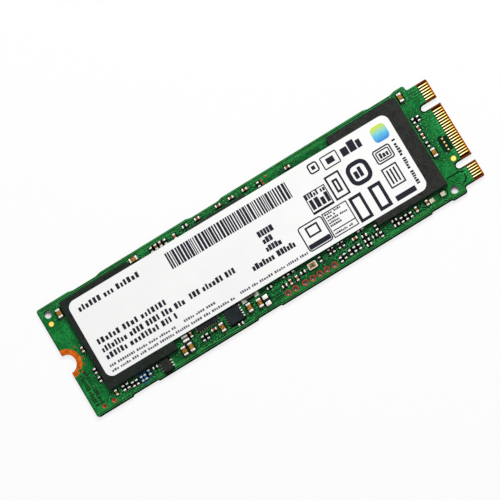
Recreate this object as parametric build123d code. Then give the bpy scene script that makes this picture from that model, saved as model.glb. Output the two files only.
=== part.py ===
from build123d import *
import os

# A bare solid state drive card, 80 by 22 millimetres. All lengths are in millimetres.
# The origin is on the underside, below the middle of the card. X runs towards the edge
# contacts, Y towards the key nearest to pin 1, and Z up through the chips.

# The card
card_length = 80.0
card_width = 22.0
card_thickness = 0.8
card_corner_radius = 0.5
mask_depth = 0.03
plating_thickness = 0.04
overrun_length = 1.0

# The keyed tab that goes into the socket
tab_length = 4.0
shoulder_width = 1.075
tab_root_radius = 0.4
tab_corner_radius = 0.3
root_limit_share = 0.9
bevel_length = 0.2
bevel_height = 0.12
key_width = 1.2
key_depth = 3.5
contact_spacing = 0.5
contact_width = 0.35
contact_length = 1.7
contact_margin = 0.05
window_margin = 0.05
middle_pin = 38
last_pin = 75
near_key_first_pin = 12
near_key_last_pin = 19
far_key_first_pin = 59
far_key_last_pin = 66

# The half round mounting notch and its plated land
notch_radius = 1.75
notch_land_width = 1.0

# The break-off recesses left along both long edges, as shares of the card's length
recess_depth = 0.25
upper_recess_ramp_length = 1.0
lower_recess_ramp_length = 0.3
upper_recess_shares = ((0.0825, 0.167), (0.39, 0.4825), (0.845, 0.926))
lower_recess_shares = ((0.09, 0.159), (0.4125, 0.476), (0.8575, 0.914))

# Tooling holes, fiducial marks and bare copper
tooling_hole_diameter = 1.5
tooling_hole_inset = 1.6
front_hole_setback = 5.8
fiducial_diameter = 0.95
copper_dot_diameter = 0.4
strip_dot_spacing = 0.71
strip_dot_count = 4
test_hole_diameter = 0.75
test_land_diameter = 1.2
small_test_hole_diameter = 0.3
small_test_land_diameter = 0.85
square_pad_length = 0.85
square_pad_width = 0.75
square_pad_height = 0.06
small_round_side_count = 10

# The large packages and the solder balls that they stand on
flash_share = 0.242
flash_height = 0.95
flash_upper_margin = 1.0
lower_strip_width = 3.0
mount_end_margin = 4.4
front_margin = 6.35
controller_size = 11.4
controller_upper_margin = 1.85
left_field_share = 0.2143
controller_top_gap = 0.04
memory_width = 8.0
memory_length = 11.0
memory_top_gap = 0.08
package_chamfer = 0.06
ball_height = 0.25
ball_width_share = 0.5
flash_ball_spacing = 1.0
flash_ball_column_count = 8
flash_ball_row_count = 12
controller_ball_spacing = 0.85
controller_ball_row_count = 12
controller_empty_row_count = 8
memory_ball_spacing = 0.8
memory_ball_column_count = 3
memory_ball_row_count = 10
memory_aisle_width = 1.6

# The small chips
power_width = 2.8
power_length = 3.0
power_height = 0.75
power_pad_count = 5
power_pad_spacing = 0.5
switch_size = 4.1
switch_height = 0.8
switch_pad_count = 9
switch_pad_spacing = 0.455
pad_width = 0.24
pad_reach_length = 0.3
pad_height = 0.18
logic_width = 1.5
logic_length = 2.1
logic_height = 0.85
logic_standoff = 0.08
lead_count = 3
lead_spacing = 0.52
lead_width = 0.22
lead_reach = 0.5
lead_thickness = 0.12
lead_height_share = 0.5
chip_chamfer = 0.05

# The clock crystal and the power parts
crystal_length = 1.7
crystal_width = 1.25
crystal_base_height = 0.32
crystal_lid_height = 0.08
crystal_rim_width = 0.1
crystal_radius = 0.15
inductor_length = 2.5
inductor_width = 2.0
inductor_height = 0.95
inductor_end_length = 0.3
inductor_foot_thickness = 0.12
inductor_radius = 0.3
fuse_length = 2.0
fuse_width = 1.0
fuse_height = 0.55
fuse_end_length = 0.75
bead_length = 1.15
bead_width = 1.2
bead_height = 0.5
bead_end_length = 0.4
array_length = 1.0
array_width = 1.2
array_height = 0.4
array_end_length = 0.25
array_end_width = 0.42

# The two-ended chip parts
large_length = 1.6
large_width = 0.85
large_height = 0.8
large_end_length = 0.35
small_length = 1.0
small_width = 0.5
small_height = 0.5
small_end_length = 0.25
resistor_height = 0.35
resistor_end_length = 0.27
end_step_height = 0.03

# The paper label
label_thickness = 0.08
label_radius = 1.4
label_tilt = -0.55
label_mount_margin = 5.4
label_front_margin = 9.25
label_upper_margin = 2.3
label_lower_margin = 4.45

# Sizes that follow from those above
half_length = card_length / 2
half_width = card_width / 2
shoulder = half_length - tab_length
tab_width = card_width - 2 * shoulder_width
flash_length = card_width - flash_upper_margin - lower_strip_width
label_level = card_thickness + ball_height + flash_height
notch_land_radius = notch_radius + notch_land_width
contact_end = half_length - bevel_length - contact_margin
key_pins = ((near_key_first_pin, near_key_last_pin), (far_key_first_pin, far_key_last_pin))
window_start = contact_end - contact_length - window_margin

# The stretches of the card, from the mounting end to the contacts
open_length = card_length - mount_end_margin - front_margin - controller_size
flash_width = open_length * flash_share
left_flash_start = -half_length + mount_end_margin
left_flash_end = left_flash_start + flash_width
right_flash_end = half_length - front_margin
right_flash_start = right_flash_end - flash_width
controller_start = left_flash_end + open_length * left_field_share
controller_end = controller_start + controller_size
stretches = {
    "mount end": (-half_length, left_flash_start),
    "left flash": (left_flash_start, left_flash_end),
    "left middle": (left_flash_end, controller_start),
    "controller": (controller_start, controller_end),
    "right middle": (controller_end, right_flash_start),
    "right flash": (right_flash_start, right_flash_end),
    "front": (right_flash_end, half_length),
}

# The rows of parts: where each starts and how far its share of one reaches
rows = {
    "lower": (-half_width, lower_strip_width),
    "upper": (half_width, -controller_upper_margin),
    "middle": (0, half_width),
}
ALONG = 0
ACROSS = 90
HALF_TURN = 180

# Each table gives a share along its stretch, a share of its row, and the way a part lies
large_capacitor_shares = {
    ("mount end", "middle"): ((0.79, 0.766, ACROSS),),
    ("left middle", "lower"): ((0.065, 0.70, ACROSS), (0.177, 0.70, ACROSS), (0.698, 0.73, ACROSS)),
    ("left middle", "upper"): ((0.10, 0.70, ALONG),),
    ("controller", "lower"): ((0.187, 0.88, ACROSS), (0.358, 0.80, ACROSS)),
    ("front", "middle"): ((0.134, 0.85, ACROSS), (0.142, -0.187, ACROSS)),
}
small_capacitor_shares = {
    ("mount end", "middle"): ((0.86, 0.07, ACROSS),),
    ("left flash", "lower"): ((0.052, 0.71, ACROSS),),
    ("left middle", "lower"): ((0.26, 1.33, ACROSS), (0.578, 0.88, ALONG)),
    ("left middle", "upper"): ((0.468, 0.80, ACROSS), (0.542, 0.80, ACROSS), (0.774, 0.89, ACROSS)),
    ("controller", "lower"): ((0.93, 0.91, ACROSS),),
    ("controller", "upper"): ((0.192, 0.55, ALONG), (0.571, 0.54, ALONG), (0.805, 0.54, ALONG)),
    ("right middle", "lower"): ((0.029, 0.90, ACROSS), (0.727, 1.13, ALONG)),
    ("right middle", "upper"): ((0.035, 0.55, ALONG), (0.518, 0.88, ALONG)),
    ("right flash", "lower"): ((0.506, 0.69, ACROSS), (0.663, 0.70, ACROSS)),
    ("front", "middle"): ((0.117, 0.275, ACROSS), (0.112, 0.134, ACROSS)),
}
resistor_shares = {
    ("mount end", "middle"): ((0.864, -0.331, ACROSS), (0.864, -0.484, ACROSS)),
    ("left flash", "lower"): (
        (0.159, 0.71, ACROSS), (0.219, 0.71, ACROSS), (0.286, 0.61, ACROSS), (0.344, 0.61, ACROSS),
        (0.417, 0.61, ACROSS), (0.468, 0.61, ACROSS), (0.537, 0.73, ACROSS), (0.633, 0.80, ALONG)),
    ("left middle", "lower"): ((0.382, 0.75, ACROSS), (0.454, 0.75, ACROSS), (0.948, 0.34, ALONG)),
    ("left middle", "upper"): ((0.391, 0.83, ACROSS), (0.619, 0.83, ACROSS), (0.97, 0.54, ALONG)),
    ("controller", "lower"): ((0.873, 1.49, ACROSS), (0.955, 1.49, ACROSS), (0.602, 1.29, ALONG),
                              (0.82, 0.90, ALONG)),
    ("right middle", "lower"): (
        (0.029, 1.50, ACROSS), (0.109, 1.03, ALONG), (0.323, 1.15, ACROSS), (0.504, 0.48, ACROSS),
        (0.556, 0.55, ACROSS), (0.619, 0.56, ACROSS), (0.673, 0.59, ACROSS), (0.728, 0.58, ACROSS),
        (0.793, 1.50, ACROSS), (0.842, 1.52, ACROSS), (0.823, 0.98, ALONG), (0.823, 0.66, ALONG),
        (0.823, 0.37, ALONG), (0.912, 0.64, ALONG), (0.967, 1.02, ACROSS), (0.98, 0.51, ACROSS)),
    ("right middle", "upper"): ((0.181, 0.84, ACROSS),),
    ("right flash", "lower"): (
        (0.199, 0.84, ALONG), (0.199, 0.52, ALONG), (0.286, 0.61, ACROSS), (0.351, 0.61, ACROSS),
        (0.417, 0.60, ACROSS)),
    ("front", "middle"): ((0.106, 0.419, ACROSS), (0.258, 0.42, ACROSS), (0.109, -0.018, ACROSS)),
}
array_shares = {("right middle", "lower"): ((0.464, 1.23, ACROSS), (0.577, 1.23, ACROSS))}
fuse_shares = {("controller", "lower"): ((0.471, 0.73, ACROSS),)}
bead_shares = {("left middle", "lower"): ((0.16, 1.31, ACROSS),)}
inductor_shares = {("controller", "lower"): ((0.268, 1.70, ALONG),)}
crystal_shares = {("right middle", "lower"): ((0.226, 1.08, ALONG),)}
power_shares = {("left middle", "lower"): ((0.928, 1.02, ALONG),)}
switch_shares = {("left middle", "lower"): ((0.538, 1.913, ALONG),)}
logic_shares = {("left flash", "lower"): ((0.773, 0.52, ALONG),)}
memory_shares = {("right middle", "middle"): ((0.516, 0.145, ALONG),)}
square_pad_shares = {("right flash", "lower"): ((0.727, 0.67, ALONG), (0.889, 0.67, ALONG))}
fiducial_shares = {("mount end", "middle"): ((0.286, 0.69, ALONG),),
                   ("front", "middle"): ((0.507, -0.423, ALONG),)}
test_hole_shares = {
    ("controller", "lower"): ((0.807, 0.44, ALONG), (0.942, 0.44, ALONG)),
    ("right middle", "lower"): (
        (0.077, 0.43, ALONG), (0.163, 0.43, ALONG), (0.246, 0.43, ALONG), (0.329, 0.43, ALONG),
        (0.418, 0.43, ALONG)),
}
small_test_hole_shares = {("mount end", "lower"): ((0.461, 0.41, ALONG), (0.923, 0.39, ALONG))}
copper_dot_shares = {
    ("mount end", "middle"): (
        (0.614, 0.176, ALONG), (0.698, -0.03, ALONG), (0.611, -0.134, ALONG), (0.389, -0.233, ALONG)),
    ("right middle", "upper"): ((0.226, 0.69, ALONG), (0.229, 1.01, ALONG), (0.281, 0.50, ALONG)),
}
strip_shares = {("front", "middle"): ((0.521, -0.158, ALONG),)}

standing = (Align.CENTER, Align.CENTER, Align.MIN)


def places(shares):
    """Where the parts of a table stand on the card's upper face, and how each is turned."""
    found = []
    for (stretch, row), spots in shares.items():
        start, end = stretches[stretch]
        base, reach = rows[row]
        for along, across, turn in spots:
            x = start + (end - start) * along
            y = base + reach * across
            found.append(Location((x, y, card_thickness), (0, 0, turn)))
    return found


def block(length, width, height, x=0, y=0, z=0):
    """A box that stands on the height z, with its middle at x and y."""
    return Pos(x, y, z) * Box(length, width, height, align=standing)


def disc(diameter, height, z=0):
    """A flat round pad or cut that stands on the height z."""
    return Pos(0, 0, z) * Cylinder(diameter / 2, height, align=standing)


def facet_disc(diameter, height, z=0):
    """A small round pad or cut with flat facets, which stands on the height z."""
    return Pos(0, 0, z) * extrude(RegularPolygon(diameter / 2, small_round_side_count), amount=height)


def spread(count, spacing):
    """Evenly spaced places either side of zero."""
    return [(number - (count - 1) / 2) * spacing for number in range(count)]


def save(name, solids):
    """Writes one node as a STEP file."""
    export_step(Compound(children=list(solids)), os.path.join("parts", name + ".step"))


def pin_place(pin):
    """How far a pin of the edge contacts is from the card's middle line."""
    return (middle_pin - pin) * contact_spacing / 2


def pins(first):
    """Every second pin from the first, without those that the keys take away."""
    taken = [pin for start, end in key_pins for pin in range(start, end + 1)]
    return [pin for pin in range(first, last_pin + 1, 2) if pin not in taken]


def recess(shares, edge, ramp):
    """One break-off recess: a shallow bite with ramped ends in a long edge, edge being 1 or -1."""
    start, end = (share * card_length - half_length for share in shares)
    rim = edge * half_width
    floor = rim - edge * recess_depth
    beyond = rim + edge * overrun_length
    outline = Polyline(
        (start, beyond), (start, rim), (start + ramp, floor), (end - ramp, floor), (end, rim),
        (end, beyond), close=True)
    return make_face(outline)


def key_slot(pin_span):
    """One round-ended key slot, open at the front edge."""
    y = sum(pin_place(pin) for pin in pin_span) / 2
    straight = key_depth - key_width / 2
    length = straight + overrun_length
    slot = Pos(half_length - straight + length / 2, y) * Rectangle(length, key_width)
    return slot + Pos(half_length - straight, y) * Circle(key_width / 2)


def card_outline():
    """The card's outline, with its shoulders, tab, keys, notch and recesses."""
    middle_x = (shoulder - half_length) / 2
    outline = Pos(middle_x, 0) * Rectangle(shoulder + half_length, card_width)
    rooted_tab = tab_length + overrun_length
    outline += Pos(half_length - rooted_tab / 2, 0) * Rectangle(rooted_tab, tab_width)
    root_radius = min(tab_root_radius, (shoulder_width - card_corner_radius) * root_limit_share)
    rounds = (
        (lambda v: v.X < half_length and abs(v.Y) < half_width, root_radius),
        (lambda v: v.X > half_length - mask_depth, tab_corner_radius),
        (lambda v: abs(v.Y) > half_width - mask_depth, card_corner_radius),
    )
    for chosen, radius in rounds:
        outline = fillet(outline.vertices().filter_by(chosen), radius)
    for span in key_pins:
        outline -= key_slot(span)
    for shares in upper_recess_shares:
        outline -= recess(shares, 1, upper_recess_ramp_length)
    for shares in lower_recess_shares:
        outline -= recess(shares, -1, lower_recess_ramp_length)
    return outline - Pos(-half_length, 0) * Circle(notch_radius)


def bevel(side):
    """The wedge that comes off the tab's front edge on one face, side being 1 or -1."""
    face = card_thickness / 2 + side * card_thickness / 2
    wedge = Polyline(
        (half_length - bevel_length, 0, face), (half_length + bevel_length, 0, face),
        (half_length + bevel_length, 0, face - side * 2 * bevel_height), close=True)
    return extrude(make_face(wedge), amount=half_width, both=True, dir=(0, 1, 0))


def tooling_holes():
    """The two drilled holes that held the card while it was made."""
    inset_y = half_width - tooling_hole_inset
    spots = ((tooling_hole_inset - half_length, inset_y), (half_length - front_hole_setback, -inset_y))
    hole = disc(tooling_hole_diameter, card_thickness)
    return [Pos(x, y) * hole for x, y in spots]


def strip_dots():
    """Places of the dots of the programming strip."""
    ys = spread(strip_dot_count, strip_dot_spacing)
    return [place * Pos(0, y, 0) for place in places(strip_shares) for y in ys]


def window_cuts():
    """The openings in the solder mask: tab, notch land, marks, dots and test hole lands."""
    sunk = card_thickness - mask_depth
    tab_window = half_length - window_start
    window_x = half_length - tab_window / 2
    ring = disc(2 * notch_land_radius, mask_depth)
    cuts = []
    for z in (0, sunk):
        cuts.append(block(tab_window, card_width, mask_depth, x=window_x, z=z))
        cuts.append(Pos(-half_length, 0, z) * ring)
    lands = [(place, test_land_diameter) for place in places(test_hole_shares)]
    lands += [(place, small_test_land_diameter) for place in places(small_test_hole_shares)]
    for place, diameter in lands:
        cuts.append(place * facet_disc(diameter, mask_depth, z=-mask_depth))
        cuts.append(place * facet_disc(diameter, mask_depth, z=-card_thickness))
    for place in places(fiducial_shares):
        cuts.append(place * disc(fiducial_diameter, mask_depth, z=-mask_depth))
    for place in places(copper_dot_shares) + strip_dots():
        cuts.append(place * facet_disc(copper_dot_diameter, mask_depth, z=-mask_depth))
    return cuts


def drilled_cuts():
    """The holes through the card: tooling holes, and test holes with room for their lining."""
    cuts = tooling_holes()
    drilled = [(place, test_hole_diameter) for place in places(test_hole_shares)]
    drilled += [(place, small_test_hole_diameter) for place in places(small_test_hole_shares)]
    for place, diameter in drilled:
        cuts.append(place * facet_disc(diameter + 2 * plating_thickness, card_thickness, z=-card_thickness))
    return cuts


def circuit_board():
    """The laminate with its solder mask, as one solid."""
    board = extrude(card_outline(), amount=card_thickness)
    for side in (1, -1):
        board -= bevel(side)
    return board - window_cuts() - drilled_cuts()


def contacts(first, z):
    """One row of gold edge contacts, from the pin given."""
    contact = block(contact_length, contact_width, mask_depth, x=contact_end - contact_length / 2, z=z)
    return [Pos(0, pin_place(pin)) * contact for pin in pins(first)]


def notch_lands():
    """The half round copper lands of the mounting notch, one on each face."""
    ring = Circle(notch_land_radius) - Circle(notch_radius)
    half = ring & (Pos(notch_land_radius, 0) * Rectangle(2 * notch_land_radius, 2 * notch_land_radius))
    land = Pos(-half_length, 0, 0) * extrude(half, amount=mask_depth)
    return [land, Pos(0, 0, card_thickness - mask_depth) * land]


def hole_lining(hole_diameter, land_diameter):
    """The plated lining of one test hole: a wall with a land on each face, hung below zero."""
    land = facet_disc(land_diameter, mask_depth)
    lining = facet_disc(hole_diameter + 2 * plating_thickness, card_thickness, z=-card_thickness)
    lining += Pos(0, 0, -mask_depth) * land
    lining += Pos(0, 0, -card_thickness) * land
    return lining - facet_disc(hole_diameter, card_thickness, z=-card_thickness)


def test_hole_linings():
    """The plated linings of the test holes."""
    large = hole_lining(test_hole_diameter, test_land_diameter)
    small = hole_lining(small_test_hole_diameter, small_test_land_diameter)
    return [place * large for place in places(test_hole_shares)] + [
        place * small for place in places(small_test_hole_shares)]


def dot_pads():
    """The small bare copper dots, which fill their windows in the mask."""
    dot = facet_disc(copper_dot_diameter, mask_depth, z=-mask_depth)
    return [place * dot for place in places(copper_dot_shares) + strip_dots()]


def package(width, length, height, chamfer_size):
    """A moulded package that stands on zero, its upper edges slightly broken."""
    body = block(width, length, height)
    return chamfer(body.faces().sort_by(Axis.Z)[-1].edges(), chamfer_size)


def ball_grid(xs, ys, spacing, empty=0):
    """Solder joints below a package, each a short square pillar, with none in the empty middle."""
    width = spacing * ball_width_share
    spots = [(x, y) for x in xs for y in ys if max(abs(x), abs(y)) > empty]
    return [block(width, width, ball_height, x=x, y=y) for x, y in spots]


def flash_places():
    """The middles of the two flash packages, on the card's face."""
    y = (lower_strip_width - flash_upper_margin) / 2
    starts = (left_flash_start, right_flash_start)
    return [Pos(start + flash_width / 2, y, card_thickness) for start in starts]


def controller_place():
    """The middle of the controller, on the card's face."""
    y = half_width - controller_upper_margin - controller_size / 2
    return Pos(controller_start + controller_size / 2, y, card_thickness)


def memory_ball_places():
    """The two blocks of ball columns below the working memory, either side of an aisle."""
    shift = memory_aisle_width / 2 + (memory_ball_column_count - 1) / 2 * memory_ball_spacing
    columns = spread(memory_ball_column_count, memory_ball_spacing)
    return [x + side * shift for side in (-1, 1) for x in columns]


def save_packages():
    """The four large packages and their solder balls."""
    raised = Pos(0, 0, ball_height)
    flash = raised * package(flash_width, flash_length, flash_height, package_chamfer)
    flash_xs = spread(flash_ball_column_count, flash_ball_spacing)
    flash_ys = spread(flash_ball_row_count, flash_ball_spacing)
    flash_balls = ball_grid(flash_xs, flash_ys, flash_ball_spacing)
    for name, place in zip(("left", "right"), flash_places()):
        save("flash_package_" + name, [place * flash])
        save("flash_balls_" + name, [place * ball for ball in flash_balls])
    controller_height = flash_height - controller_top_gap
    grid = spread(controller_ball_row_count, controller_ball_spacing)
    empty = controller_empty_row_count * controller_ball_spacing / 2
    controller = raised * package(controller_size, controller_size, controller_height, package_chamfer)
    save("controller_package", [controller_place() * controller])
    controller_balls = ball_grid(grid, grid, controller_ball_spacing, empty)
    save("controller_balls", [controller_place() * ball for ball in controller_balls])
    memory = raised * package(memory_width, memory_length, flash_height - memory_top_gap, package_chamfer)
    memory_ys = spread(memory_ball_row_count, memory_ball_spacing)
    memory_balls = ball_grid(memory_ball_places(), memory_ys, memory_ball_spacing)
    memory_place = places(memory_shares)[0]
    save("memory_package", [memory_place * memory])
    save("memory_balls", [memory_place * ball for ball in memory_balls])


def side_pads(width, ys):
    """Pads along the two sides of a leadless chip."""
    x = width / 2 + pad_reach_length / 2
    return [block(pad_reach_length, pad_width, pad_height, x=side * x, y=y) for side in (-1, 1) for y in ys]


def save_leadless_chips():
    """The power chip, padded on two sides, and the power switch chip, padded on four."""
    power_place = places(power_shares)[0]
    power_pads = side_pads(power_width, spread(power_pad_count, power_pad_spacing))
    save("power_chip_body", [power_place * package(power_width, power_length, power_height, chip_chamfer)])
    save("power_chip_pads", [power_place * pad for pad in power_pads])
    switch_place = places(switch_shares)[0]
    two_sides = side_pads(switch_size, spread(switch_pad_count, switch_pad_spacing))
    switch_pads = two_sides + [Rot(0, 0, 90) * pad for pad in two_sides]
    save("switch_chip_body", [switch_place * package(switch_size, switch_size, switch_height, chip_chamfer)])
    save("switch_chip_pads", [switch_place * pad for pad in switch_pads])


def bent_lead():
    """One formed lead: out of the body's side, down, and out along the card."""
    top = logic_height * lead_height_share
    knee = lead_reach / 2
    outline = Polyline(
        (0, 0, top), (knee + lead_thickness, 0, top), (knee + lead_thickness, 0, lead_thickness),
        (lead_reach, 0, lead_thickness), (lead_reach, 0, 0), (knee, 0, 0), (knee, 0, top - lead_thickness),
        (0, 0, top - lead_thickness), close=True)
    return extrude(make_face(outline), amount=lead_width / 2, both=True, dir=(0, 1, 0))


def save_logic_chip():
    """The small logic chip with three formed leads along each side."""
    place = places(logic_shares)[0]
    body = package(logic_width, logic_length, logic_height - logic_standoff, chip_chamfer)
    save("logic_chip_body", [place * Pos(0, 0, logic_standoff) * body])
    lead = Pos(logic_width / 2, 0, 0) * bent_lead()
    ys = spread(lead_count, lead_spacing)
    leads = [Rot(0, 0, turn) * Pos(0, y, 0) * lead for turn in (0, HALF_TURN) for y in ys]
    save("logic_chip_leads", [place * each for each in leads])


def save_crystal():
    """The clock crystal: a ceramic base and a metal lid."""
    place = places(crystal_shares)[0]
    base_outline = RectangleRounded(crystal_length, crystal_width, crystal_radius)
    base = extrude(base_outline, amount=crystal_base_height)
    lid_length = crystal_length - 2 * crystal_rim_width
    lid_width = crystal_width - 2 * crystal_rim_width
    lid_outline = RectangleRounded(lid_length, lid_width, crystal_radius - crystal_rim_width / 2)
    lid = Pos(0, 0, crystal_base_height) * extrude(lid_outline, amount=crystal_lid_height)
    save("crystal_base", [place * base])
    save("crystal_lid", [place * lid])


def save_inductor():
    """The inductor: a moulded core with a folded terminal round each end."""
    place = places(inductor_shares)[0]
    core_length = inductor_length - 2 * inductor_foot_thickness
    core_height = inductor_height - inductor_foot_thickness
    core = extrude(RectangleRounded(core_length, inductor_width, inductor_radius), amount=core_height)
    save("inductor_core", [place * Pos(0, 0, inductor_foot_thickness) * core])
    width = inductor_width - 2 * inductor_radius
    outer, core_end, inner = inductor_length / 2, core_length / 2, core_length / 2 - inductor_end_length
    outline = Polyline(
        (outer, 0, 0), (outer, 0, inductor_height / 2), (core_end, 0, inductor_height / 2),
        (core_end, 0, inductor_foot_thickness), (inner, 0, inductor_foot_thickness), (inner, 0, 0), close=True)
    terminal = extrude(make_face(outline), amount=width / 2, both=True, dir=(0, 1, 0))
    save("inductor_terminals", [place * Rot(0, 0, turn) * terminal for turn in (0, HALF_TURN)])


def save_two_ended(name, shares, length, width, height, end):
    """A set of two-ended parts: their bodies, and the metal ends that clasp them."""
    step = end_step_height
    body = block(length - 2 * end, width - 2 * step, height - 2 * step, z=step)
    ends = [block(end, width, height, x=side * (length - end) / 2) for side in (-1, 1)]
    spots = places(shares)
    save(name + "_bodies", [place * body for place in spots])
    save(name + "_ends", [place * each for place in spots for each in ends])


def save_arrays():
    """The four-ended arrays: flat bodies with an end near each corner."""
    core_length = array_length - 2 * array_end_length
    body = block(core_length, array_width, array_height - end_step_height, z=end_step_height)
    x = (array_length - array_end_length) / 2
    y = (array_width - array_end_width) / 2
    end = block(array_end_length, array_end_width, array_height)
    ends = [Pos(a * x, b * y) * end for a in (-1, 1) for b in (-1, 1)]
    spots = places(array_shares)
    save("array_bodies", [place * body for place in spots])
    save("array_ends", [place * each for place in spots for each in ends])


def label():
    """The paper label that lies flat on the packages, stuck on slightly askew."""
    length = card_length - label_mount_margin - label_front_margin
    width = card_width - label_upper_margin - label_lower_margin
    x = (label_mount_margin - label_front_margin) / 2
    y = (label_lower_margin - label_upper_margin) / 2
    sheet = extrude(RectangleRounded(length, width, label_radius), amount=label_thickness)
    return Pos(x, y, label_level) * Rot(0, 0, label_tilt) * sheet


os.makedirs("parts", exist_ok=True)
save("circuit_board", [circuit_board()])
save("edge_contacts_top", contacts(1, card_thickness - mask_depth))
save("edge_contacts_bottom", contacts(2, 0))
save("mount_notch_lands", notch_lands())
save("test_hole_linings", test_hole_linings())
fiducial = disc(fiducial_diameter, mask_depth, z=-mask_depth)
save("fiducial_pads", [place * fiducial for place in places(fiducial_shares)])
save("copper_dots", dot_pads())
square_pad = block(square_pad_length, square_pad_width, square_pad_height)
save("square_test_pads", [place * square_pad for place in places(square_pad_shares)])
save_packages()
save_leadless_chips()
save_logic_chip()
save_crystal()
save_inductor()
large_size = (large_length, large_width, large_height, large_end_length)
small_size = (small_length, small_width, small_height, small_end_length)
resistor_size = (small_length, small_width, resistor_height, resistor_end_length)
save_two_ended("large_capacitor", large_capacitor_shares, *large_size)
save_two_ended("small_capacitor", small_capacitor_shares, *small_size)
save_two_ended("resistor", resistor_shares, *resistor_size)
save_two_ended("fuse", fuse_shares, fuse_length, fuse_width, fuse_height, fuse_end_length)
save_two_ended("ferrite_bead", bead_shares, bead_length, bead_width, bead_height, bead_end_length)
save_arrays()
save("label", [label()])
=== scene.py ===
# %% [markdown]
# # A gumstick solid state drive
#
# The drive is a bare circuit card, 80 mm long and 22 mm wide, with its chips soldered to one face and
# a paper label stuck over them. Its true shapes and sizes come from the drawing. This lesson dresses
# them: it gives each one a finish, rounds what the drawing keeps sharp or coarse, and adds what a
# drawing leaves out, such as solder, copper traces and print.

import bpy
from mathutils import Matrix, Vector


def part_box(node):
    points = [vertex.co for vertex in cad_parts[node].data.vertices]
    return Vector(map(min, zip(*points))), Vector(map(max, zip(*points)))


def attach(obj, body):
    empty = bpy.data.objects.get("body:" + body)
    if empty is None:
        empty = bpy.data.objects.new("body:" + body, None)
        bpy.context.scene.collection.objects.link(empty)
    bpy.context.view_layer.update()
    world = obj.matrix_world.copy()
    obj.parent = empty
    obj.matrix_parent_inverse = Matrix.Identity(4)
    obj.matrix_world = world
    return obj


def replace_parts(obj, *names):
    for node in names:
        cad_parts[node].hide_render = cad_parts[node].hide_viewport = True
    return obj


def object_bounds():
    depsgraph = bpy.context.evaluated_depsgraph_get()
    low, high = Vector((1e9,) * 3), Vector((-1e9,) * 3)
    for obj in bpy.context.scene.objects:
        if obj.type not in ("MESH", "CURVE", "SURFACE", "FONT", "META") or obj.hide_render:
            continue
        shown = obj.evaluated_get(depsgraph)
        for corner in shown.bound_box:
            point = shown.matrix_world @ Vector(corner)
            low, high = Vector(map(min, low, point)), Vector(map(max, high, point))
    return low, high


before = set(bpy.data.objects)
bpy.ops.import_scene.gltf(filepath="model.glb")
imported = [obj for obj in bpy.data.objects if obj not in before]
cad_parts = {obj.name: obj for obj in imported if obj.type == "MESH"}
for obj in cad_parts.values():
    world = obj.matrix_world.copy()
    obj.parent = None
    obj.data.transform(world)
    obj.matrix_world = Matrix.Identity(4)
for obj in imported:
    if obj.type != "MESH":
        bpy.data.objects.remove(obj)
plain_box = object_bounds()
print("nodes:", len(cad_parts), "box:", [round(1000 * c, 2) for corner in plain_box for c in corner])

# %% Modules and units
import math
import random

import bmesh
import bpy
from mathutils import Matrix, Vector

MM = 0.001
scene = bpy.context.scene
scene.view_settings.view_transform = "Standard"


def paint(red, green, blue):
    """A colour given as on a paint card, 0 to 255 a channel, in Blender's linear numbers."""
    linear = [((c / 255 + 0.055) / 1.055) ** 2.4 if c > 10 else c / 255 / 12.92 for c in (red, green, blue)]
    return (*linear, 1.0)


# %% [markdown]
# ## The camera
#
# The picture was taken from half a metre above the card with a long lens, leaning a little towards
# one long edge, and with the card lying aslant in the frame. A camera could be aimed with angles, but
# three numbers for where it stands, three for where it looks and three for which way is up say the
# same and can be checked with a ruler. The lens follows from how many pixels wide the card looks.

# %% Camera
camera = bpy.data.objects.new("camera", bpy.data.cameras.new("camera"))
scene.collection.objects.link(camera)
scene.camera = camera
stand = Vector((31.12, -74.84, 523.24))
aim = Vector((-1.865, 0.343, 0.8))
upward = Vector((0.52184, 0.84837, 0.08913))
FOCAL_PIXELS, PICTURE_PIXELS = 3014.32, 500
back = (stand - aim).normalized()
right = upward.cross(back).normalized()
turned = Matrix((right, back.cross(right), back)).transposed()
camera.matrix_world = Matrix.Translation(stand * MM) @ turned.to_4x4()
camera.data.sensor_width = 36
camera.data.lens = FOCAL_PIXELS / PICTURE_PIXELS * camera.data.sensor_width
camera.data.clip_start = 0.005
print("the camera stands", round((stand - aim).length), "mm away, lens", round(camera.data.lens), "mm")

# %% [markdown]
# ## Shader sums in plain Python
#
# A finish is a web of small nodes. Wiring each by hand hides the idea behind the cables, so a socket
# is wrapped in a class that knows plus, minus, times and the rest: `1 - mask` then adds a Math node
# and returns its output. Any other node comes from `node`, which takes its type, its settings and the
# values or links of its sockets.


# %% A wrapped socket
class Wire:
    """One output of a finish, on which Python's operators add Math nodes."""

    def __init__(self, finish, socket):
        self.finish, self.socket = finish, socket

    def maths(self, operation, *values):
        return self.finish.node("ShaderNodeMath", {"operation": operation}, dict(enumerate(values)))

    def __add__(self, other): return self.maths("ADD", self, other)
    def __radd__(self, other): return self.maths("ADD", other, self)
    def __sub__(self, other): return self.maths("SUBTRACT", self, other)
    def __rsub__(self, other): return self.maths("SUBTRACT", other, self)
    def __mul__(self, other): return self.maths("MULTIPLY", self, other)
    def __rmul__(self, other): return self.maths("MULTIPLY", other, self)
    def __truediv__(self, other): return self.maths("DIVIDE", self, other)
    def __rtruediv__(self, other): return self.maths("DIVIDE", other, self)
    def __pow__(self, other): return self.maths("POWER", self, other)
    def __gt__(self, other): return self.maths("GREATER_THAN", self, other)
    def __lt__(self, other): return self.maths("LESS_THAN", self, other)
    def __abs__(self): return self.maths("ABSOLUTE", self)

    def clear(self, start, end):
        """0 below start, 1 above end and a straight ramp between."""
        return self.finish.node("ShaderNodeMapRange", {}, {0: self, 1: start, 2: end, 3: 0.0, 4: 1.0})


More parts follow.
